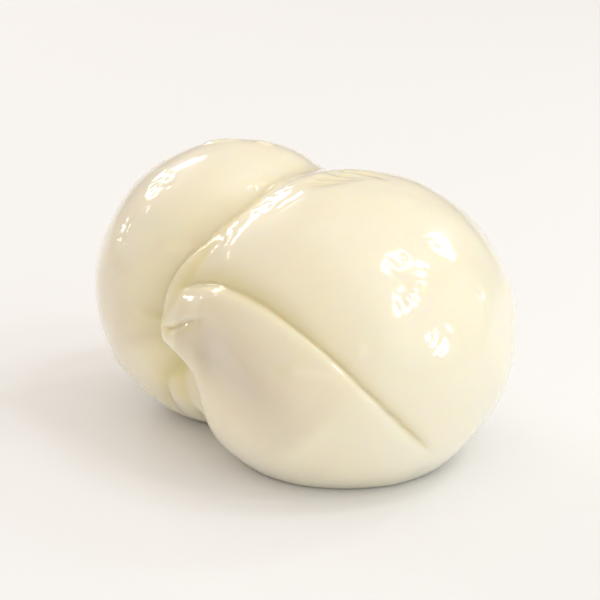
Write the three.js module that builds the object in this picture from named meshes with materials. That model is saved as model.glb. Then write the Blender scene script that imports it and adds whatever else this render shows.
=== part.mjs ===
// A 250 g ball of fresh mozzarella, resting on its flattened underside.
// The curd was stretched, folded over on itself and pinched off, so the ball has a large front lobe and
// a smaller back lobe with a deep cleft between them. A flap, with a diagonal crease along its edge, is
// folded down over the front lobe, and everything gathers at a small nub where the curd was pinched.
//
// The form is a radius that changes with direction, measured from the heart, a point inside the ball.
// Lengths are in millimetres, Z is up and the ball stands on Z = 0.
// A direction is [azimuth, elevation] in degrees: azimuth 0 is +X, 90 is +Y, and -90 faces the front.

import * as THREE from "three";
import { mergeVertices } from "three/addons/utils/BufferGeometryUtils.js";

// ---------------------------------------------------------------- driving dimensions

const HEART_HEIGHT = 24.9; // from the table up to the heart
const SPLITS = 20; // cuts along each edge of the icosahedron that the ball is shaped from
const ROUTE_STEPS = 120; // straight steps that stand for a furrow's curve

// A lobe is an ellipsoid: its centre from the heart, its half widths, and its angles in degrees.
const FRONT_LOBE = { centre: [12.5, -9.4, -0.2], half: [35.3, 38.1, 31.5], turn: -4.9, tilt: 6.9, roll: 14.1 };
const TONGUE = { centre: [-4.1, -11.1, 0], half: [19.8, 15.7, 17.0], turn: 0, tilt: 0, roll: 0 };
const BACK_LOBE = { centre: [-10.2, 11.9, 2.5], half: [30.9, 32.1, 30.4], turn: 1.5, tilt: -0.7, roll: 11.2 };

// Where the back lobe is pressed flat against the front lobe: the flat's outward direction, and how far
// it lies from the heart.
const PRESSED_FLAT = { facing: [-0.57, -0.82, -0.1], distance: 27.6 };

// How wide the surfaces run into each other.
const TONGUE_BLEND = 12.9;
const PRESSED_BLEND = 8.3;
const LOBE_BLEND = 3.0;

// A furrow runs along a curve of directions. Its depth and its widths to the left and the right are spread
// evenly from its start to its end, and a negative depth is a ridge. Fades are the shares of its length
// over which it comes in and dies away, and sharpness 1 is a V while 2 is a round hollow.
const CLEFT = {
  along: [
    [58, -20], [62, 10], [69, 33], [72, 47], [72, 66], [100, 82], [-154, 79], [-146, 69], [-146, 60],
    [-149, 46], [-154, 32], [-159, 16], [-160, 3], [-154, -7], [-146, -13], [-140, -20], [-136, -30],
    [-133, -44],
  ],
  depth: [0.3, 0.3, 0.5, 1.2, 3.0, 5.2, 6.4, 6.9],
  left: [2.4, 2.4, 2.4, 2.4, 2.8, 4.8, 4.6], right: [2.2, 2.2, 2.2, 2.5, 3.2, 3.7, 3.7],
  fade: [0.3, 0.1], sharpness: 1.7,
};
const RIM = {
  along: [
    [15, 64], [5, 74], [-60, 81], [-108, 77], [-130, 67], [-134, 58], [-137, 48], [-140, 38], [-144, 27],
    [-147, 14],
  ],
  depth: [-0.6, -1.1], left: [5.5], right: [5.5], fade: [0.25, 0.25], sharpness: 2,
};
const CREASE = {
  along: [
    [-152, 19], [-141, 24.5], [-133, 27.5], [-121, 28.5], [-111, 27], [-102, 24.5], [-93, 20], [-80, 10],
    [-69.5, -1], [-57.5, -13.5], [-50, -21],
  ],
  depth: [1.0, 2.0, 1.5, 1.2, 1.0], left: [2.6, 3.0, 1.4, 1.0], right: [1.4, 1.2, 0.8, 0.7],
  fade: [0.16, 0.12], sharpness: 1.15,
};
const FLAP_HOLLOW = {
  along: [[-136, 7], [-126, 3], [-116, -1], [-107, -6], [-98, -12], [-89, -18]],
  depth: [2.4, 3.2, 2.8, 1.8], left: [8.0], right: [6.0], fade: [0.3, 0.4], sharpness: 2,
};
const FOOT_FOLD = {
  along: [[-152, -10], [-155, -17], [-160, -27], [-168, -37], [-174, -47]],
  depth: [1.6], left: [1.8], right: [1.8], fade: [0.2, 0.4], sharpness: 1.3,
};
const BACK_FOLD = {
  along: [[66, 4], [82, 14], [100, 20], [120, 20], [140, 13], [157, 2], [170, -12]],
  depth: [1.1], left: [1.5], right: [4.2], fade: [0.3, 0.4], sharpness: 1.3,
};
const FURROWS = [CLEFT, RIM, CREASE, FLAP_HOLLOW, FOOT_FOLD, BACK_FOLD];

// The nub where the ball was pinched off, and the dent below it where the flap is drawn in.
const NUB = { at: [-146.5, 1], height: 2.4, reach: 4.2 };
const WAIST = { at: [-122, -9], height: -1.8, reach: 7.0 };

// ---------------------------------------------------------------- small helpers

/** The unit vector that points along [azimuth, elevation]. */
function pointing([azimuth, elevation]) {
  const a = THREE.MathUtils.degToRad(azimuth);
  const e = THREE.MathUtils.degToRad(elevation);
  return new THREE.Vector3(Math.cos(e) * Math.cos(a), Math.cos(e) * Math.sin(a), Math.sin(e));
}

/** The larger of two radii, rounded over the given width where they are nearly the same. */
function blendedMax(a, b, width) {
  const share = Math.max(width - Math.abs(a - b), 0) / width;
  return Math.max(a, b) + (share ** 3 * width) / 6;
}

/** The smaller of two radii, rounded over the given width where they are nearly the same. */
function blendedMin(a, b, width) {
  return -blendedMax(-a, -b, width);
}

/** The value at a share from 0 to 1 of values that are spread evenly over a length. */
function spread(values, share) {
  const place = share * (values.length - 1);
  const first = Math.min(Math.floor(place), Math.max(values.length - 2, 0));
  return THREE.MathUtils.lerp(values[first], values[Math.min(first + 1, values.length - 1)], place - first);
}

// ---------------------------------------------------------------- lobes

/** A function from direction to the distance at which a ray from the heart leaves the lobe. */
function lobeRadius({ centre, half, turn, tilt, roll }) {
  const [z, y, x] = [turn, -tilt, roll].map(THREE.MathUtils.degToRad);
  const untilt = new THREE.Matrix4().makeRotationFromEuler(new THREE.Euler(x, y, z, "ZYX")).invert();
  const size = new THREE.Vector3(...half);
  const start = new THREE.Vector3(...centre).negate().applyMatrix4(untilt).divide(size);
  const room = start.lengthSq() - 1;
  return (direction) => {
    const step = direction.clone().applyMatrix4(untilt).divide(size);
    const along = step.lengthSq();
    const towards = step.dot(start);
    return (Math.sqrt(towards ** 2 - along * room) - towards) / along;
  };
}

/** A function from direction to the distance at which a ray from the heart meets a flat. */
function flatRadius({ facing, distance }) {
  const normal = new THREE.Vector3(...facing).normalize();
  return (direction) => {
    const towards = direction.dot(normal);
    return towards > 0 ? distance / towards : Infinity;
  };
}

// ---------------------------------------------------------------- furrows

/** The furrow's curve as unit vectors, evenly stepped through its directions. */
function route(along) {
  const curve = new THREE.CatmullRomCurve3(along.map(pointing), false, "catmullrom", 0.5);
  return curve.getPoints(ROUTE_STEPS).map((point) => point.normalize());
}

/** How far along and how far from the route a direction is, and on which side. */
function placeOn(points, lengths, direction) {
  const nearest = { distance: Infinity, left: true, share: 0 };
  const edge = new THREE.Vector3();
  const foot = new THREE.Vector3();
  for (let i = 0; i + 1 < points.length; i += 1) {
    edge.subVectors(points[i + 1], points[i]);
    const reached = foot.subVectors(direction, points[i]).dot(edge) / edge.lengthSq();
    const t = THREE.MathUtils.clamp(reached, 0, 1);
    foot.copy(points[i]).addScaledVector(edge, t);
    const distance = foot.distanceTo(direction);
    if (distance < nearest.distance) {
      nearest.distance = distance;
      nearest.left = foot.cross(edge).dot(direction) > 0;
      nearest.share = THREE.MathUtils.lerp(lengths[i], lengths[i + 1], t);
    }
  }
  return nearest;
}

/** A function from direction and radius to the height that the furrow takes away. */
function furrowCut({ along, depth, left, right, fade, sharpness }) {
  const points = route(along);
  const lengths = [0];
  for (let i = 1; i < points.length; i += 1) {
    lengths.push(lengths[i - 1] + points[i].distanceTo(points[i - 1]));
  }
  const whole = lengths.at(-1);
  const shares = lengths.map((length) => length / whole);
  return (direction, radius) => {
    const place = placeOn(points, shares, direction);
    const share = place.share;
    const comingIn = THREE.MathUtils.smoothstep(share, 0, fade[0]);
    const dyingAway = THREE.MathUtils.smoothstep(1 - share, 0, fade[1]);
    const here = spread(depth, share) * comingIn * dyingAway;
    const reach = spread(place.left ? left : right, share);
    return here * Math.exp(-(((place.distance * radius) / reach) ** sharpness));
  };
}

/** A function from direction and radius to the height that a round swelling adds. */
function swellingRise({ at, height, reach }) {
  const middle = pointing(at);
  return (direction, radius) => {
    const distance = middle.distanceTo(direction) * radius;
    return height * Math.exp(-((distance / reach) ** 2));
  };
}

// ---------------------------------------------------------------- the ball

const frontLobe = lobeRadius(FRONT_LOBE);
const tongue = lobeRadius(TONGUE);
const backLobe = lobeRadius(BACK_LOBE);
const pressedFlat = flatRadius(PRESSED_FLAT);
const furrows = FURROWS.map(furrowCut);
const swellings = [NUB, WAIST].map(swellingRise);

/** The ball's radius in a direction, before it rests on the table. */
function freeRadius(direction) {
  const front = blendedMax(frontLobe(direction), tongue(direction), TONGUE_BLEND);
  const back = blendedMin(backLobe(direction), pressedFlat(direction), PRESSED_BLEND);
  let radius = blendedMax(front, back, LOBE_BLEND);
  for (const cut of furrows) {
    radius -= cut(direction, radius);
  }
  for (const rise of swellings) {
    radius += rise(direction, radius);
  }
  return radius;
}

/** The closed ball, with its underside cut flat at the table and its box centred over the origin. */
function ballGeometry() {
  const sphere = new THREE.IcosahedronGeometry(1, SPLITS);
  sphere.deleteAttribute("normal");
  sphere.deleteAttribute("uv");
  const geometry = mergeVertices(sphere);
  const position = geometry.getAttribute("position");
  const direction = new THREE.Vector3();
  for (let i = 0; i < position.count; i += 1) {
    direction.fromBufferAttribute(position, i).normalize();
    const radius = freeRadius(direction);
    const toTable = direction.z < 0 ? HEART_HEIGHT / -direction.z : Infinity;
    const height = radius < toTable ? HEART_HEIGHT + direction.z * radius : 0;
    const reach = Math.min(radius, toTable);
    position.setXYZ(i, direction.x * reach, direction.y * reach, height);
  }
  geometry.computeBoundingBox();
  const middle = geometry.boundingBox.getCenter(new THREE.Vector3());
  geometry.translate(-middle.x, -middle.y, 0);
  geometry.computeVertexNormals();
  return geometry;
}

const curd = new THREE.MeshStandardMaterial({ color: 0xf3ead0, roughness: 0.28, metalness: 0 });

const ball = new THREE.Mesh(ballGeometry(), curd);
ball.name = "mozzarella_ball";

const group = new THREE.Group();
group.add(ball);

export default group;
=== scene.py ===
"""A fresh mozzarella ball, modelled as one skin of curd over its CAD solid.

The curd was stretched, folded over on itself and pinched off. Its form is a radius that changes with
direction, measured from the heart, a point inside the ball. Two lobes and a tongue give the mass, broad
furrows give the cleft and the folds, and fine furrows and blisters give the skin. Form sizes are in
millimetres and directions are (azimuth, elevation) in degrees: azimuth 0 is +X, 90 is +Y and -90 faces the
front. Everything that Blender holds is in metres.
"""

import logging
import math
from dataclasses import dataclass, field
from enum import Enum

import bpy
import numpy as np
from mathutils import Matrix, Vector


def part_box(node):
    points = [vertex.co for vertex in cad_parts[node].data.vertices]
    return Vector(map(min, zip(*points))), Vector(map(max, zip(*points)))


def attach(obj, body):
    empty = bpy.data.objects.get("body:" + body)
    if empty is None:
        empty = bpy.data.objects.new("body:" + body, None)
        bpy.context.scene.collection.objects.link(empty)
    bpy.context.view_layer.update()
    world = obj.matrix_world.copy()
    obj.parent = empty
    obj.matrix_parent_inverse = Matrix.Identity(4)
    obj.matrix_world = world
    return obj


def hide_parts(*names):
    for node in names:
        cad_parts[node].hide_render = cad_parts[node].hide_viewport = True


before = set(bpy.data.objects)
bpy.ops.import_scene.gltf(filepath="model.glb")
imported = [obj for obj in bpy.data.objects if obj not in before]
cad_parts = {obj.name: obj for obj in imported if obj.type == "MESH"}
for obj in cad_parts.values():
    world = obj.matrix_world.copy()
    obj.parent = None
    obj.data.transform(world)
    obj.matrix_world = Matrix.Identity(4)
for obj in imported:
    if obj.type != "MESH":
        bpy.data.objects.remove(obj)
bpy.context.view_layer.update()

LOG = logging.getLogger("mozzarella")
MM = 0.001
CAD_NODE = "mozzarella_ball"
BODY = "root"
PUCKER_GROUP = "puckers"
# Names of the mesh attributes that carry painted shade: in the folds, and on the flap and the back lobe.
FOLD_SHADE = "fold"
PAINTED_SHADE = "painted_shade_share"
FAR_AWAY = 1000.0  # millimetres, for a direction that never meets a flat

Triple = tuple[float, float, float]
Pair = tuple[float, float]
Spread = float | tuple[float, ...]


# ---------------------------------------------------------------- helpers for directions and radii


def unit_vectors(directions: list[Pair]) -> np.ndarray:
    """Turns (azimuth, elevation) pairs into unit vectors.

    Args:
        directions: Pairs in degrees.

    Returns:
        One row of x, y, z for each pair.
    """
    azimuth, elevation = np.radians(np.array(directions, dtype=float)).T
    flat = np.cos(elevation)
    return np.stack([flat * np.cos(azimuth), flat * np.sin(azimuth), np.sin(elevation)], axis=1)


def smooth_step(values: np.ndarray, end: float) -> np.ndarray:
    """A soft ramp from 0 at zero to 1 at end."""
    share = np.clip(values / end, 0.0, 1.0)
    return share * share * (3.0 - 2.0 * share)


def spread(values: Spread, share: np.ndarray) -> np.ndarray:
    """Values that are spread evenly over a length, read at shares of it from 0 to 1."""
    values = np.atleast_1d(values)
    return np.interp(share, np.linspace(0.0, 1.0, len(values)), values)


def blended_max(a: np.ndarray, b: np.ndarray, width: float) -> np.ndarray:
    """The larger of two radii, rounded over width where they are nearly the same."""
    share = np.maximum(width - np.abs(a - b), 0.0) / width
    return np.maximum(a, b) + share**3 * width / 6.0


def blended_min(a: np.ndarray, b: np.ndarray, width: float) -> np.ndarray:
    """The smaller of two radii, rounded over width where they are nearly the same."""
    return -blended_max(-a, -b, width)


def turned(turn: float, tilt: float, roll: float) -> np.ndarray:
    """The rotation that rolls about X, tilts about -Y and then turns about Z, all in degrees."""
    a, b, c = np.radians([turn, tilt, roll])
    about_z = np.array([[np.cos(a), -np.sin(a), 0], [np.sin(a), np.cos(a), 0], [0, 0, 1]])
    about_y = np.array([[np.cos(b), 0, -np.sin(b)], [0, 1, 0], [np.sin(b), 0, np.cos(b)]])
    about_x = np.array([[1, 0, 0], [0, np.cos(c), -np.sin(c)], [0, np.sin(c), np.cos(c)]])
    return about_z @ about_y @ about_x


# ---------------------------------------------------------------- what the form is made of


@dataclass(frozen=True)
class Lobe:
    """An ellipsoid of curd: its centre from the heart, its half widths and its angles."""

    centre: Triple
    half: Triple
    turn: float = 0.0
    tilt: float = 0.0
    roll: float = 0.0

    def radius(self, directions: np.ndarray) -> np.ndarray:
        """How far from the heart each direction leaves the lobe.

        Args:
            directions: Unit vectors, one in each row.

        Returns:
            One radius for each direction.
        """
        rotation = turned(self.turn, self.tilt, self.roll)
        start = (rotation.T @ -np.array(self.centre)) / self.half
        steps = (directions @ rotation) / self.half
        along = (steps * steps).sum(axis=1)
        towards = steps @ start
        room = start @ start - 1.0
        return (np.sqrt(towards**2 - along * room) - towards) / along


@dataclass(frozen=True)
class Flat:
    """A flat that presses on the curd: its outward direction, and its distance from the heart."""

    facing: Triple
    distance: float

    def radius(self, directions: np.ndarray) -> np.ndarray:
        """How far from the heart each direction meets the flat, or FAR_AWAY if it doesn't."""
        normal = np.array(self.facing) / np.linalg.norm(self.facing)
        return self.distance / np.maximum(directions @ normal, self.distance / FAR_AWAY)


@dataclass(frozen=True)
class Furrow:
    """A furrow, or with a negative depth a ridge, that runs along a curve of directions.

    Its depth and its widths to the left and the right are spread evenly from its start to its end, where
    one number holds all the way. Fades are the shares of its length over which it comes in and dies away.
    Sharpness 1 is a V and 2 is round.
    """

    along: list[Pair]
    depth: Spread
    left: Spread
    right: Spread
    fade: Pair = (0.25, 0.35)
    sharpness: float = 1.5
    steps: int = 120

    def route(self) -> np.ndarray:
        """The furrow's curve as unit vectors, evenly stepped through its directions."""
        knots = unit_vectors(self.along)
        knots = np.vstack([2 * knots[0] - knots[1], knots, 2 * knots[-1] - knots[-2]])
        spans = len(self.along) - 1
        at = np.linspace(0.0, spans, self.steps + 1)
        first = np.minimum(at.astype(int), spans - 1)
        t = (at - first)[:, None]
        a, b, c, d = (knots[first + k] for k in range(4))
        curve = 2 * b + (c - a) * t + (2 * a - 5 * b + 4 * c - d) * t**2 + (3 * b - a - 3 * c + d) * t**3
        return curve / np.linalg.norm(curve, axis=1, keepdims=True)

    def cut(self, directions: np.ndarray, radii: np.ndarray) -> np.ndarray:
        """The height that the furrow takes away in each direction.

        Args:
            directions: Unit vectors, one in each row.
            radii: The radius in each direction before this furrow.

        Returns:
            One height for each direction, zero beyond the furrow's reach.
        """
        points = self.route()
        edges = np.diff(points, axis=0)
        lengths = np.concatenate([[0.0], np.cumsum(np.linalg.norm(edges, axis=1))])
        nearest = np.argmax(directions @ points.T, axis=1)
        distance = np.full(len(directions), np.inf)
        share = np.zeros(len(directions))
        left = np.zeros(len(directions), dtype=bool)
        for step in (-1, 0):
            edge = np.clip(nearest + step, 0, len(edges) - 1)
            start, run = points[edge], edges[edge]
            t = np.clip(((directions - start) * run).sum(axis=1) / (run * run).sum(axis=1), 0.0, 1.0)
            foot = start + run * t[:, None]
            off = np.linalg.norm(directions - foot, axis=1)
            nearer = off < distance
            distance = np.where(nearer, off, distance)
            reached = lengths[edge] + t * (lengths[edge + 1] - lengths[edge])
            share = np.where(nearer, reached / lengths[-1], share)
            left = np.where(nearer, (np.cross(foot, run) * directions).sum(axis=1) > 0, left)
        depth = spread(self.depth, share) * smooth_step(share, self.fade[0])
        depth = depth * smooth_step(1.0 - share, self.fade[1])
        reach = np.where(left, spread(self.left, share), spread(self.right, share))
        return depth * np.exp(-((distance * radii / reach) ** self.sharpness))


@dataclass(frozen=True)
class Blister:
    """A small round swelling, or with a negative height a dent."""

    at: Pair
    height: float
    reach: float

    def rise(self, directions: np.ndarray, radii: np.ndarray) -> np.ndarray:
        """The height that the blister adds in each direction."""
        distance = np.linalg.norm(directions - unit_vectors([self.at]), axis=1)
        return self.height * np.exp(-((distance * radii / self.reach) ** 2))


# ---------------------------------------------------------------- the ball's form


@dataclass(frozen=True)
class CurdForm:
    """The mass of the ball, with its cleft and its folds, as the CAD solid has it.

    The curd's colour has shade painted into it: deeper and yellower along the seam where the lobes meet and
    in the folds, and darker on the flap, most of all in the hollow, and low on the back lobe. The seam's
    reach is how far its painted shade runs onto the back lobe and onto the front one. The bands of painted
    shade are furrows that cut nothing away, with a share from 0 to 1 as their depth.
    """

    heart_height: float = 24.9
    front_lobe: Lobe = Lobe((12.5, -9.4, -0.2), (35.3, 38.1, 31.5), turn=-4.9, tilt=6.9, roll=14.1)
    tongue: Lobe = Lobe((-4.1, -11.1, 0.0), (19.8, 15.7, 17.0))
    back_lobe: Lobe = Lobe((-10.2, 11.9, 2.5), (30.9, 32.1, 30.4), turn=1.5, tilt=-0.7, roll=11.2)
    pressed_flat: Flat = Flat((-0.57, -0.82, -0.1), 27.6)
    tongue_blend: float = 12.9
    pressed_blend: float = 8.3
    lobe_blend: float = 3.0
    table_blend: float = 0.55
    # Painted shade along the seam and in the cleft: how far it reaches, how strong it is, and its ramp onto
    # the back lobe.
    seam_reach: Pair = (2.4, 0.6)
    seam_shade: float = 0.9
    cleft_shade: float = 0.18
    cleft_shade_ramp: float = 1.0
    cleft: Furrow = Furrow(
        along=[
            (58, -20), (62, 10), (69, 33), (72, 47), (72, 66), (100, 82), (-154, 79), (-146, 69), (-146, 60),
            (-149, 46), (-154, 32), (-159, 16), (-160, 3), (-154, -7), (-146, -13), (-140, -20), (-136, -30),
            (-133, -44),
        ],
        depth=(0.3, 0.3, 0.5, 1.2, 3.0, 5.2, 6.4, 6.9), left=(2.4, 2.4, 2.4, 2.4, 2.8, 4.8, 4.6),
        right=(2.2, 2.2, 2.2, 2.5, 3.2, 3.7, 3.7), fade=(0.3, 0.1), sharpness=1.7,
    )
    rim: Furrow = Furrow(
        along=[
            (15, 64), (5, 74), (-60, 81), (-108, 77), (-130, 67), (-134, 58), (-137, 48), (-140, 38),
            (-144, 27), (-147, 14),
        ],
        depth=(-0.6, -1.1), left=5.5, right=5.5, fade=(0.25, 0.25), sharpness=2.0,
    )
    crease: Furrow = Furrow(
        along=[
            (-152, 19), (-141, 24.5), (-133, 27.5), (-121, 28.5), (-111, 27), (-102, 24.5), (-93, 20),
            (-80, 10), (-69.5, -1), (-57.5, -13.5), (-50, -21),
        ],
        depth=(1.0, 2.0, 1.7, 1.5, 1.3), left=(2.6, 3.0, 1.3, 0.9), right=(1.2, 1.0, 0.6, 0.5),
        fade=(0.16, 0.12), sharpness=1.1,
    )
    flap_hollow: Furrow = Furrow(
        along=[(-136, 7), (-126, 3), (-116, -1), (-107, -6), (-98, -12), (-89, -18)],
        depth=(2.4, 3.2, 2.8, 1.8), left=8.0, right=6.0, fade=(0.3, 0.4), sharpness=2.0,
    )
    foot_fold: Furrow = Furrow(
        along=[(-152, -10), (-155, -17), (-160, -27), (-168, -37), (-174, -47)],
        depth=1.6, left=1.8, right=1.8, fade=(0.2, 0.4), sharpness=1.3,
    )
    back_fold: Furrow = Furrow(
        along=[(66, 4), (82, 14), (100, 20), (120, 20), (140, 13), (157, 2), (170, -12)],
        depth=1.1, left=1.5, right=4.2, fade=(0.3, 0.4), sharpness=1.3,
    )
    nub: Blister = Blister((-146.5, 1), 2.4, 4.2)
    waist: Blister = Blister((-122, -9), -1.8, 7.0)
    # Bands of painted shade: in the flap's hollow, over the flap, and low on the back lobe.
    hollow_shade_band: Furrow = Furrow(
        along=[(-140, 6), (-133, 6.5), (-124, 6), (-114, 5.5), (-104, 2), (-97, -3), (-89, -7), (-80, -12)],
        depth=(1.0, 1.0, 0.85, 0.35, 0.1), left=4.6, right=5.2, fade=(0.06, 0.3), sharpness=2.0,
    )
    flap_shade_band: Furrow = Furrow(
        along=[(-130, 4), (-112, 2), (-98, -6), (-85, -16)],
        depth=0.5, left=12.0, right=9.0, fade=(0.1, 0.1), sharpness=2.0,
    )
    back_shade_band: Furrow = Furrow(
        along=[(178, 22), (-178, 10), (-170, 0), (-165, -12)],
        depth=0.4, left=9.0, right=9.0, fade=(0.2, 0.2), sharpness=2.0,
    )

    def painted_shade_share(self, directions: np.ndarray, radii: np.ndarray) -> np.ndarray:
        """How much painted shade darkens the skin in each direction, from 0 to 1."""
        bands = (self.hollow_shade_band, self.flap_shade_band, self.back_shade_band)
        return np.clip(sum(band.cut(directions, radii) for band in bands), 0.0, 1.0)

    def radius(self, directions: np.ndarray) -> tuple[np.ndarray, np.ndarray]:
        """The ball's radius before it rests on the table, and how deep in a fold each direction is.

        Args:
            directions: Unit vectors, one in each row.

        Returns:
            The radii, and the depths in the folds that set the painted shade there, both in millimetres.
        """
        front = blended_max(
            self.front_lobe.radius(directions), self.tongue.radius(directions), self.tongue_blend
        )
        back = blended_min(
            self.back_lobe.radius(directions), self.pressed_flat.radius(directions), self.pressed_blend
        )
        radii = blended_max(front, back, self.lobe_blend)
        # Painted shade: darker and yellower along the seam where the lobes meet.
        behind = back - front
        reach = np.where(behind > 0.0, *self.seam_reach)
        fold = self.seam_shade * np.exp(-((behind / reach) ** 2))
        on_back = smooth_step(behind + self.cleft_shade_ramp / 2, self.cleft_shade_ramp)
        # Each furrow's cut, times its share, adds painted shade in the folds.
        furrows = (
            (self.cleft, self.cleft_shade * on_back), (self.rim, 0.0), (self.crease, 1.0),
            (self.flap_hollow, 0.0), (self.foot_fold, 1.0), (self.back_fold, 1.0),
        )
        for furrow, share_in_shade in furrows:
            cut = furrow.cut(directions, radii)
            radii = radii - cut
            fold = fold + share_in_shade * cut
        for blister in (self.nub, self.waist):
            radii = radii + blister.rise(directions, radii)
        return radii, fold

    def table(self) -> Flat:
        """The table that the ball rests on, as a flat below the heart."""
        return Flat((0.0, 0.0, -1.0), self.heart_height)


# ---------------------------------------------------------------- the skin's fine relief


# Pleats that run over the top of the front lobe, one after another from left to right.
TOP_PLEATS = [
    Furrow(
        along=[(-68, 77), (-54, 72.5), (-44, 68.7), (-37, 64.8), (-33, 61)],
        depth=(0.9, 0.5), left=0.8, right=1.8, fade=(0.4, 0.5),
    ),
    Furrow(
        along=[(-45, 78.5), (-35, 73.5), (-31, 68.5), (-27, 64), (-25, 60)],
        depth=(1.1, 0.6), left=0.8, right=1.4, fade=(0.35, 0.5),
    ),
    Furrow(
        along=[(0, 75), (-9, 73), (-18, 69.5), (-20, 63), (-19, 58)],
        depth=(0.9, 0.5), left=1.0, right=1.9, fade=(0.4, 0.5),
    ),
    Furrow(
        along=[(14, 70), (0, 66), (-6, 61), (-12, 57), (-16, 53)],
        depth=(1.1, 0.6), left=0.9, right=1.8, fade=(0.3, 0.5),
    ),
    Furrow(
        along=[(26, 66), (13, 60), (7, 55.5), (-1, 52)],
        depth=(0.8, 0.5), left=0.9, right=1.7, fade=(0.4, 0.5),
    ),
]

# A shallow strip in the front lobe, beside the rim.
SHOULDER_STRIP = [
    Furrow(
        along=[
            (-84, 77), (-104, 73), (-116.5, 68), (-123, 60.5), (-127, 54), (-130, 48), (-132.5, 42),
            (-134.5, 36), (-137, 31),
        ],
        depth=0.22, left=2.4, right=2.4, fade=(0.15, 0.15), sharpness=2.0,
    ),
]

# The fold that runs from the nub onto the flap, two short marks across it, and the web behind the nub.
PINCH_MARKS = [
    Furrow(
        along=[(-147, 5.5), (-142, 6.6), (-138.6, 8.4), (-133, 11.5), (-127, 13.8), (-120, 16), (-114, 18)],
        depth=(1.5, 1.0, 0.4), left=0.5, right=(0.9, 1.8, 2.4), fade=(0.15, 0.5), sharpness=1.2,
    ),
    Furrow(
        along=[(-146, 9), (-143.6, 6.5), (-143, 2.8), (-143.6, -2)],
        depth=0.3, left=0.6, right=0.6, fade=(0.4, 0.4), sharpness=1.3,
    ),
    Furrow(
        along=[(-142, 7), (-140, 5), (-139.6, 0.5), (-140, -5)],
        depth=0.25, left=0.7, right=0.7, fade=(0.4, 0.4), sharpness=1.3,
    ),
    Furrow(
        along=[(-160.6, 6.8), (-162.1, 3.2), (-162.6, 0), (-162.8, -4)],
        depth=(-1.8, -1.2), left=1.6, right=2.6, fade=(0.3, 0.3), sharpness=2.0,
    ),
]

# A small forked dimple in the middle of the flap.
FLAP_DIMPLE = [
    Furrow(
        along=[(-94, 7.6), (-92.3, 5.6), (-91.5, 4.8), (-91.2, 2.6)],
        depth=(0.3, 0.2), left=0.6, right=0.6, fade=(0.4, 0.4),
    ),
    Furrow(
        along=[(-88.8, 7.4), (-90.3, 5.8), (-91.5, 4.8)],
        depth=0.25, left=0.5, right=0.5, fade=(0.4, 0.2),
    ),
]

# Small lips and nicks on the back lobe.
RAGGED_EDGES = [
    Furrow(
        along=[(138, 51), (133, 54.5), (127, 58), (121, 61)],
        depth=(-0.7, -0.5), left=1.0, right=0.6, fade=(0.3, 0.3), sharpness=1.4,
    ),
    Furrow(
        along=[(113, 62), (107, 64), (100, 65)],
        depth=(-0.6, -0.5), left=0.9, right=0.6, fade=(0.3, 0.3), sharpness=1.4,
    ),
    Furrow(
        along=[(137, 47.5), (133, 50), (129, 52.5)],
        depth=0.35, left=0.7, right=0.7, fade=(0.3, 0.3), sharpness=1.4,
    ),
    Furrow(
        along=[(175, -14), (178, -19), (-176, -22)],
        depth=(-0.6, -0.5), left=0.6, right=0.9, fade=(0.3, 0.3), sharpness=1.4,
    ),
    Furrow(
        along=[(-168, -24), (-171, -28), (-175, -33)],
        depth=(-0.6, -0.5), left=0.6, right=0.6, fade=(0.3, 0.3), sharpness=1.4,
    ),
]

# Wide shallow dents flatten the front lobe's shoulder, so that the wet skin there glints in patches.
SHOULDER_DENTS = [
    Blister((-53.4, 9.8), -0.13, 3.0),
    Blister((-50.2, 11.4), -0.08, 1.6),
    Blister((-36.1, 15.3), -0.08, 2.4),
    Blister((-59.0, 20.4), -0.13, 3.0),
    Blister((-57.6, 22.6), -0.06, 1.4),
    Blister((-52.5, 26.5), -0.15, 3.6),
    Blister((-54.6, 30.5), -0.08, 2.0),
    Blister((-45.0, 28.7), -0.08, 2.2),
    Blister((-38.4, 31.0), -0.12, 2.8),
]

# Small single blisters, on the front lobe, the back lobe and the flap.
BLISTERS = [
    Blister((-72.5, 9.8), 0.5, 1.3),
    Blister((-166.0, 28.0), 0.2, 0.9),
    Blister((-166.0, 31.0), 0.15, 0.7),
    Blister((-125.0, 22.3), 0.15, 0.6),
    Blister((-126.8, 12.9), 0.2, 0.7),
]


@dataclass(frozen=True)
class SkinRelief:
    """The fine relief of the skin: pleats, pinch marks, ragged edges, blisters and shallow dents."""

    furrows: tuple[Furrow, ...] = (
        *TOP_PLEATS, *SHOULDER_STRIP, *PINCH_MARKS, *FLAP_DIMPLE, *RAGGED_EDGES,
    )
    blisters: tuple[Blister, ...] = (*SHOULDER_DENTS, *BLISTERS)

    def rise(self, directions: np.ndarray, radii: np.ndarray) -> tuple[np.ndarray, np.ndarray]:
        """The height that the relief adds to the form in each direction.

        Args:
            directions: Unit vectors, one in each row.
            radii: The form's radius in each direction.

        Returns:
            The heights and the depths in the relief's own furrows, both in millimetres.
        """
        height = np.zeros(len(directions))
        depth = np.zeros(len(directions))
        for furrow in self.furrows:
            cut = furrow.cut(directions, radii)
            height -= cut
            # The furrows' depth also feeds the painted shade in the folds.
            depth += np.maximum(cut, 0.0)
        for blister in self.blisters:
            height += blister.rise(directions, radii)
        return height, depth


@dataclass(frozen=True)
class Patch:
    """A patch of skin: its middle as a direction, its reach in degrees, and how strongly it takes part."""

    middle: Pair
    reach: float
    strength: float = 1.0

    def share(self, directions: np.ndarray) -> np.ndarray:
        """How much each direction takes part in the patch, from 0 to its strength."""
        angles = np.degrees(np.arccos(np.clip(directions @ unit_vectors([self.middle])[0], -1.0, 1.0)))
        return self.strength * np.exp(-((angles / self.reach) ** 4))


# ---------------------------------------------------------------- small helpers for modelling


def deselect_all() -> None:
    """Leaves no object selected and no object in edit mode."""
    if bpy.context.object and bpy.context.object.mode != "OBJECT":
        bpy.ops.object.mode_set(mode="OBJECT")
    bpy.ops.object.select_all(action="DESELECT")


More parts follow.
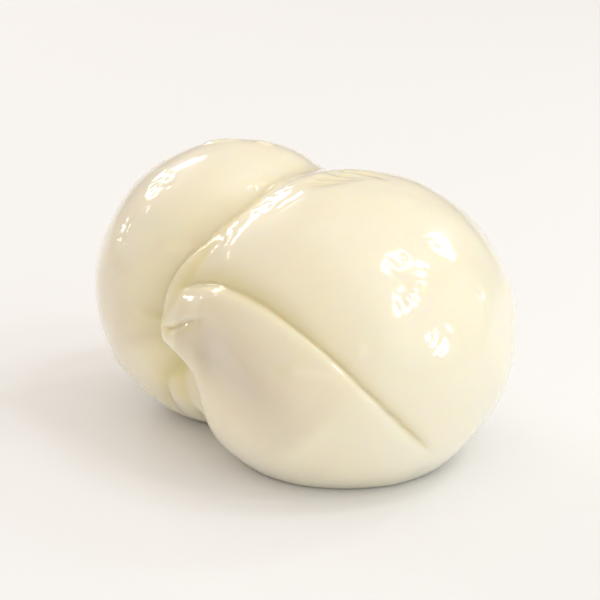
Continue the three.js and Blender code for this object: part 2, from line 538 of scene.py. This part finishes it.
def make_active(piece: bpy.types.Object) -> None:
    """Selects one object alone and makes it the active one."""
    deselect_all()
    piece.select_set(True)
    bpy.context.view_layer.objects.active = piece


def vertex_places(mesh: bpy.types.Mesh) -> np.ndarray:
    """A mesh's vertices, one row each."""
    places = np.empty(len(mesh.vertices) * 3)
    mesh.vertices.foreach_get("co", places)
    return places.reshape(-1, 3)


# ---------------------------------------------------------------- finishes


@dataclass(frozen=True)
class CurdFinish:
    """Stretched curd under a film of whey: milky and glossy, with shade painted darker and yellower in the
    folds and darker in the hollow.

    The curd under the film has its roughness in patches, from the first of two values to the second. The
    scatter reach is how far red, green and blue light goes in the curd, as shares of the scatter depth.
    """

    skin_tone: Triple = (0.93, 0.88, 0.73)
    warm_tone: Triple = (0.93, 0.865, 0.69)
    # Tones of painted shade: darker and yellower in the folds, darker on the flap and the back lobe.
    fold_shade_tone: Triple = (0.82, 0.755, 0.46)
    painted_shade_tone: Triple = (0.74, 0.665, 0.53)
    mottle_size: float = 14 * MM
    mottle_span: Pair = (0.4, 0.7)
    roughness: Pair = (0.29, 0.37)
    roughness_size: float = 5.1 * MM
    roughness_span: Pair = (0.35, 0.65)
    ripple_size: float = 1.7 * MM
    ripple_height: float = 0.008 * MM
    scatter: float = 0.75
    scatter_depth: float = 3.0 * MM
    scatter_reach: Triple = (1.0, 0.78, 0.42)
    curd_ior: float = 1.42
    film_roughness: float = 0.07
    film_ior: float = 1.46

    def build(self) -> bpy.types.Material:
        """Makes the material.

        Returns:
            A node material that reads Object coordinates and the mesh's two painted shade attributes, for the
            folds and for the flap.
        """
        material = bpy.data.materials.new("curd")
        material.use_nodes = True
        shader = material.node_tree.nodes["Principled BSDF"]
        links = material.node_tree.links
        links.new(self.tone(material), shader.inputs["Base Color"])
        patches = self.patches(material, self.roughness_size, self.roughness_span, self.roughness)
        links.new(patches, shader.inputs["Roughness"])
        links.new(self.ripples(material), shader.inputs["Normal"])
        shader.inputs["IOR"].default_value = self.curd_ior
        shader.inputs["Subsurface Weight"].default_value = self.scatter
        shader.inputs["Subsurface Scale"].default_value = self.scatter_depth
        shader.inputs["Subsurface Radius"].default_value = self.scatter_reach
        shader.inputs["Coat Weight"].default_value = 1.0
        shader.inputs["Coat Roughness"].default_value = self.film_roughness
        shader.inputs["Coat IOR"].default_value = self.film_ior
        return material

    def tone(self, material: bpy.types.Material) -> bpy.types.NodeSocket:
        """The curd's colour: mottled, then darkened with painted shade on the flap and in the folds, where
        the mesh's attributes say so.

        Args:
            material: The material that gets the nodes.

        Returns:
            The colour's socket.
        """
        mottled = self.patches(material, self.mottle_size, self.mottle_span, (0.0, 1.0))
        tone = self.mixed(material, mottled, self.skin_tone, self.warm_tone)
        # Painted shade: the darker tones are mixed in by the mesh's two shade attributes.
        for share, own_tone in ((PAINTED_SHADE, self.painted_shade_tone), (FOLD_SHADE, self.fold_shade_tone)):
            there = material.node_tree.nodes.new("ShaderNodeAttribute")
            there.attribute_name = share
            tone = self.mixed(material, there.outputs["Fac"], tone, own_tone)
        return tone

    def ripples(self, material: bpy.types.Material) -> bpy.types.NodeSocket:
        """The film's fine ripples.

        Args:
            material: The material that gets the nodes.

        Returns:
            The rippled normal's socket.
        """
        bump = material.node_tree.nodes.new("ShaderNodeBump")
        bump.inputs["Distance"].default_value = self.ripple_height
        bump.inputs["Strength"].default_value = 1.0
        height = self.noise(material, self.ripple_size, detail=2.0)
        material.node_tree.links.new(height, bump.inputs["Height"])
        return bump.outputs["Normal"]

    def patches(
        self, material: bpy.types.Material, size: float, span: Pair, values: Pair
    ) -> bpy.types.NodeSocket:
        """Soft patches that run from one value to another.

        Args:
            material: The material that gets the nodes.
            size: How wide a patch is.
            span: The stretch of the noise that the values are spread over.
            values: The value where the noise is low, and where it is high.

        Returns:
            The value's socket.
        """
        ramp = material.node_tree.nodes.new("ShaderNodeMapRange")
        ramp.inputs["From Min"].default_value, ramp.inputs["From Max"].default_value = span
        ramp.inputs["To Min"].default_value, ramp.inputs["To Max"].default_value = values
        material.node_tree.links.new(self.noise(material, size, detail=1.0), ramp.inputs["Value"])
        return ramp.outputs["Result"]

    @staticmethod
    def noise(material: bpy.types.Material, size: float, detail: float) -> bpy.types.NodeSocket:
        """Noise that stays in place on the ball.

        Args:
            material: The material that gets the nodes.
            size: How wide its clouds are.
            detail: How many finer layers it has.

        Returns:
            The noise's socket.
        """
        places = material.node_tree.nodes.new("ShaderNodeTexCoord")
        noise = material.node_tree.nodes.new("ShaderNodeTexNoise")
        noise.inputs["Scale"].default_value = 1.0 / size
        noise.inputs["Detail"].default_value = detail
        material.node_tree.links.new(places.outputs["Object"], noise.inputs["Vector"])
        return noise.outputs["Fac"]

    @staticmethod
    def mixed(
        material: bpy.types.Material, factor: bpy.types.NodeSocket, low: Triple | bpy.types.NodeSocket,
        high: Triple,
    ) -> bpy.types.NodeSocket:
        """Mixes two tones by a mask.

        Args:
            material: The material that gets the node.
            factor: The mask.
            low: The tone where the mask is 0, or the socket that it comes from.
            high: The tone where the mask is 1.

        Returns:
            The mixed colour's socket.
        """
        mix = material.node_tree.nodes.new("ShaderNodeMix")
        mix.data_type = "RGBA"
        if isinstance(low, tuple):
            mix.inputs["A"].default_value = (*low, 1.0)
        else:
            material.node_tree.links.new(low, mix.inputs["A"])
        mix.inputs["B"].default_value = (*high, 1.0)
        material.node_tree.links.new(factor, mix.inputs["Factor"])
        return mix.outputs["Result"]


@dataclass(frozen=True)
class FloorFinish:
    """A plain pale floor."""

    tone: Triple = (0.90, 0.925, 0.98)
    roughness: float = 0.5

    def build(self) -> bpy.types.Material:
        """Makes the material."""
        material = bpy.data.materials.new("pale_floor")
        material.use_nodes = True
        shader = material.node_tree.nodes["Principled BSDF"]
        shader.inputs["Base Color"].default_value = (*self.tone, 1.0)
        shader.inputs["Roughness"].default_value = self.roughness
        return material


# ---------------------------------------------------------------- the ball


@dataclass(frozen=True)
class Clouds:
    """Soft clouds that lift the skin: how wide they are, how far they lift it, and which group they lift."""

    name: str
    size: float
    height: float
    group: str = ""

    def lift(self, piece: bpy.types.Object) -> None:
        """Raises and lowers the piece's skin along its normals, about where it lies."""
        texture = bpy.data.textures.new(self.name, "CLOUDS")
        texture.noise_scale = self.size
        texture.noise_depth = 0
        make_active(piece)
        bpy.ops.object.modifier_add(type="DISPLACE")
        modifier = piece.modifiers[-1]
        modifier.texture = texture
        modifier.texture_coords = "LOCAL"
        modifier.vertex_group = self.group
        modifier.strength = self.height
        modifier.mid_level = 0.5
        bpy.ops.object.modifier_apply(modifier=modifier.name)


@dataclass
class MozzarellaBall:
    """The ball's skin: a cube's faces cut fine, blown into the form and given its relief.

    A fold that is as deep as the full shade depth gets the whole painted shade of the folds. The swells,
    waves and puckers are soft clouds that lift the skin. The puckers stay in their own patches, which are
    listed in this
    order: on the shoulder of the front lobe, along the rim, at the nub, on the back lobe and on the far side.
    """

    form: CurdForm = field(default_factory=CurdForm)
    relief: SkinRelief = field(default_factory=SkinRelief)
    finish: CurdFinish = field(default_factory=CurdFinish)
    cuts: int = 125
    full_shade_depth: float = 1.6
    clouds: tuple[Clouds, ...] = (
        Clouds("swells", size=11 * MM, height=0.7 * MM),
        Clouds("waves", size=3.2 * MM, height=0.05 * MM),
        Clouds("puckers", size=1.5 * MM, height=0.4 * MM, group=PUCKER_GROUP),
    )
    puckered: tuple[Patch, ...] = (
        Patch((-48, 28), 11, 0.55), Patch((-58, 20), 5, 0.55), Patch((-53, 10), 5, 0.5), Patch((-36, 15), 4),
        Patch((-132, 50), 8, 0.5), Patch((-110, 72), 12, 0.5), Patch((-137, 36), 8, 0.5),
        Patch((-145, 0), 6),
        Patch((170, 46), 7), Patch((179, 27), 5), Patch((-167, 79), 5, 0.7),
        Patch((60, 30), 9), Patch((110, 5), 9),
    )
    least_pucker: float = 0.01

    def build(self) -> tuple[bpy.types.Object, Vector]:
        """Models and dresses the ball.

        Returns:
            The piece that stands for the CAD solid, and the heart's place.
        """
        low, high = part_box(CAD_NODE)
        piece = self.start(low, high)
        heart = self.blow(piece, low, high)
        for clouds in self.clouds:
            clouds.lift(piece)
        self.settle(piece, heart)
        for polygon in piece.data.polygons:
            polygon.use_smooth = True
        piece.data.materials.clear()
        piece.data.materials.append(self.finish.build())
        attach(piece, BODY)
        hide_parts(CAD_NODE)
        return piece, Vector(heart)

    def start(self, low: Vector, high: Vector) -> bpy.types.Object:
        """Adds a finely cut cube of about the ball's size."""
        deselect_all()
        bpy.ops.mesh.primitive_cube_add(size=high.z - low.z, location=(0.0, 0.0, 0.0))
        piece = bpy.context.object
        piece.name = piece.data.name = "mozzarella_skin"
        bpy.ops.object.mode_set(mode="EDIT")
        bpy.ops.mesh.select_all(action="SELECT")
        bpy.ops.mesh.subdivide(number_cuts=self.cuts)
        bpy.ops.object.mode_set(mode="OBJECT")
        return piece

    def blow(self, piece: bpy.types.Object, low: Vector, high: Vector) -> np.ndarray:
        """Moves the cube's vertices out to the form, over the middle of the CAD solid's box.

        Args:
            piece: The cut cube, centred on the origin.
            low: The CAD solid's lowest corner.
            high: The CAD solid's highest corner.

        Returns:
            The heart's place in metres.
        """
        places = vertex_places(piece.data)
        even = np.tan(places / np.abs(places).max() * math.pi / 4)
        directions = even / np.linalg.norm(even, axis=1, keepdims=True)
        radii, fold = self.form.radius(directions)
        heart = self.heart_place(directions, radii, low, high)
        relief, furrowed = self.relief.rise(directions, radii)
        radii = radii + relief
        piece.data.vertices.foreach_set("co", (directions * radii[:, None] * MM + heart).ravel())
        # Painted shade, stored on the mesh: in the folds and furrows, and on the flap and the back lobe.
        shares = {
            FOLD_SHADE: np.clip((fold + furrowed) / self.full_shade_depth, 0.0, 1.0),
            PAINTED_SHADE: self.form.painted_shade_share(directions, radii),
        }
        for name, values in shares.items():
            piece.data.attributes.new(name, "FLOAT", "POINT").data.foreach_set("value", values)
        piece.data.update()
        self.mark_puckers(piece, directions)
        return heart

    def heart_place(
        self, directions: np.ndarray, radii: np.ndarray, low: Vector, high: Vector
    ) -> np.ndarray:
        """Finds the heart's place that sets the form's outline over the middle of the CAD solid's box.

        Args:
            directions: The vertices' directions from the heart.
            radii: The form's radius in each direction.
            low: The CAD solid's lowest corner.
            high: The CAD solid's highest corner.

        Returns:
            The heart's place in metres.
        """
        on_table = np.minimum(radii, self.form.table().radius(directions))
        outline = directions * on_table[:, None] * MM
        middle = (outline.min(axis=0) + outline.max(axis=0)) / 2
        return np.array([
            (low.x + high.x) / 2 - middle[0],
            (low.y + high.y) / 2 - middle[1],
            low.z + self.form.heart_height * MM,
        ])

    def mark_puckers(self, piece: bpy.types.Object, directions: np.ndarray) -> None:
        """Puts the skin that puckers into a vertex group.

        Args:
            piece: The blown ball.
            directions: The vertices' directions from the heart.
        """
        group = piece.vertex_groups.new(name=PUCKER_GROUP)
        shares = np.max([patch.share(directions) for patch in self.puckered], axis=0)
        for index in np.flatnonzero(shares > self.least_pucker):
            group.add([int(index)], float(shares[index]), "REPLACE")

    def settle(self, piece: bpy.types.Object, heart: np.ndarray) -> None:
        """Flattens the underside where the ball meets the table.

        Args:
            piece: The ball.
            heart: The heart's place in metres.
        """
        away = vertex_places(piece.data) - heart
        radii = np.linalg.norm(away, axis=1) / MM
        directions = away / (radii * MM)[:, None]
        resting = blended_min(radii, self.form.table().radius(directions), self.form.table_blend)
        piece.data.vertices.foreach_set("co", (directions * resting[:, None] * MM + heart).ravel())
        piece.data.update()


# ---------------------------------------------------------------- the studio


NEUTRAL: Triple = (1.0, 1.0, 1.0)
COOL: Triple = (0.92, 0.98, 1.0)
BLUISH: Triple = (0.74, 0.93, 1.0)
WARM: Triple = (1.0, 0.91, 0.78)


class Side(Enum):
    """Where a light stands, as degrees right of the front and degrees above the table."""

    TOP = (150.0, 80.0)
    RIGHT_TOP = (80.0, 65.0)
    RIGHT_HIGH = (89.0, 55.0)
    RIGHT_BACK = (126.0, 39.0)
    RIGHT_FRONT = (60.0, 48.0)
    RIGHT_SOFT = (60.0, 22.0)
    RIGHT_LOW = (66.0, 17.5)
    RIGHT_EDGE = (107.0, 12.0)
    FRONT_LOW = (-15.0, 6.0)
    BACK_LEFT = (-146.0, 30.0)
    FAR_LEFT = (-119.0, 27.0)
    BACK_LEFT_LOW = (-123.0, 11.0)


@dataclass(frozen=True)
class SoftLight:
    """A rectangular soft light that faces the ball: its size in metres and its power in watts."""

    name: str
    side: Side
    distance: float
    size: Pair
    power: float
    tint: Triple = NEUTRAL

    def build(self, aim: Vector) -> None:
        """Sets up the light so that it faces aim."""
        azimuth, elevation = (math.radians(angle) for angle in self.side.value)
        out = Vector((
            math.sin(azimuth) * math.cos(elevation),
            -math.cos(azimuth) * math.cos(elevation),
            math.sin(elevation),
        ))
        light = bpy.data.lights.new(self.name, "AREA")
        light.shape = "RECTANGLE"
        light.size, light.size_y = self.size
        light.energy = self.power
        light.color = self.tint
        lamp = bpy.data.objects.new(self.name, light)
        lamp.location = aim + out * self.distance
        lamp.rotation_euler = out.to_track_quat("Z", "Y").to_euler()
        bpy.context.scene.collection.objects.link(lamp)


@dataclass
class Studio:
    """The floor, the sky, the lights and the camera. The sky's strength is below first, then above."""

    floor_width: float = 8.0
    floor_gap: float = 0.05 * MM
    floor_finish: FloorFinish = field(default_factory=FloorFinish)
    sky_tone: Triple = (1.0, 0.89, 0.76)
    sky_strength: Pair = (0.0, 0.91)
    lights: tuple[SoftLight, ...] = (
        SoftLight("key_light_top", Side.RIGHT_TOP, 0.7, (0.09, 0.09), 0.2, COOL),
        SoftLight("key_light_front", Side.RIGHT_HIGH, 0.7, (0.14, 0.08), 0.4, COOL),
        SoftLight("key_light_back", Side.RIGHT_BACK, 0.7, (0.06, 0.13), 0.3, COOL),
        SoftLight("window_light", Side.RIGHT_FRONT, 0.7, (0.1, 0.08), 0.3),
        SoftLight("side_light", Side.RIGHT_LOW, 0.7, (0.07, 0.06), 0.14),
        SoftLight("edge_light", Side.RIGHT_EDGE, 0.7, (0.05, 0.08), 0.06),
        SoftLight("fill_light", Side.RIGHT_SOFT, 1.2, (2.0, 0.8), 2.85, BLUISH),
        SoftLight("top_light", Side.TOP, 1.0, (0.7, 0.7), 0.4),
        SoftLight("low_light", Side.FRONT_LOW, 0.9, (0.9, 0.12), 0.42, WARM),
        SoftLight("rim_light", Side.BACK_LEFT, 0.8, (0.42, 0.1), 0.75),
        SoftLight("left_light", Side.FAR_LEFT, 0.8, (0.1, 0.04), 0.06),
        SoftLight("back_light", Side.BACK_LEFT_LOW, 0.8, (0.06, 0.05), 0.1),
    )
    camera_elevation: float = 20.0
    camera_distance: float = 553.3 * MM
    camera_lens: float = 162.0
    camera_sensor: float = 36.0
    aim_from_heart: Triple = (2.77 * MM, -14.76 * MM, 8.21 * MM)

    def build(self, heart: Vector, low: Vector, high: Vector) -> None:
        """Sets up everything around the ball.

        Args:
            heart: The ball's heart, which the camera's aim is measured from.
            low: The lowest corner of the CAD model.
            high: The highest corner of the CAD model.
        """
        self.lay_floor(low)
        self.light_sky()
        middle = (low + high) / 2
        for light in self.lights:
            light.build(middle)
        self.place_camera(heart + Vector(self.aim_from_heart))

    def lay_floor(self, low: Vector) -> None:
        """Lays the plain floor just under the ball."""
        deselect_all()
        bpy.ops.mesh.primitive_plane_add(size=self.floor_width, location=(0.0, 0.0, low.z - self.floor_gap))
        floor = bpy.context.object
        floor.name = "floor"
        floor.data.materials.append(self.floor_finish.build())

    def light_sky(self) -> None:
        """Gives the room a pale light that grows from straight below to straight above."""
        world = bpy.data.worlds.new("soft_room")
        world.use_nodes = True
        nodes, links = world.node_tree.nodes, world.node_tree.links
        sky = nodes["Background"]
        sky.inputs["Color"].default_value = (*self.sky_tone, 1.0)
        looking = nodes.new("ShaderNodeTexCoord")
        parts = nodes.new("ShaderNodeSeparateXYZ")
        links.new(looking.outputs["Generated"], parts.inputs["Vector"])
        strength = nodes.new("ShaderNodeMapRange")
        straight_down, straight_up = -1.0, 1.0
        strength.inputs["From Min"].default_value = straight_down
        strength.inputs["From Max"].default_value = straight_up
        strength.inputs["To Min"].default_value, strength.inputs["To Max"].default_value = self.sky_strength
        links.new(parts.outputs["Z"], strength.inputs["Value"])
        links.new(strength.outputs["Result"], sky.inputs["Strength"])
        bpy.context.scene.world = world
        bpy.context.scene.view_settings.view_transform = "Standard"

    def place_camera(self, aim: Vector) -> None:
        """Places the camera before the ball, looking down at it."""
        elevation = math.radians(self.camera_elevation)
        back = Vector((0.0, -math.cos(elevation), math.sin(elevation)))
        camera = bpy.data.cameras.new("camera")
        camera.sensor_width = self.camera_sensor
        camera.lens = self.camera_lens
        holder = bpy.data.objects.new("camera", camera)
        holder.location = aim + back * self.camera_distance
        holder.rotation_euler = back.to_track_quat("Z", "Y").to_euler()
        bpy.context.scene.collection.objects.link(holder)
        bpy.context.scene.camera = holder


def main() -> None:
    """Builds the ball and its studio, and reports each piece."""
    logging.basicConfig(level=logging.INFO, format="%(name)s: %(message)s")
    piece, heart = MozzarellaBall().build()
    mesh = piece.data
    LOG.info("%s: %d vertices, %d faces, heart %s", piece.name, len(mesh.vertices), len(mesh.polygons), heart)
    low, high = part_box(CAD_NODE)
    Studio().build(heart, low, high)


if __name__ == "__main__":
    main()
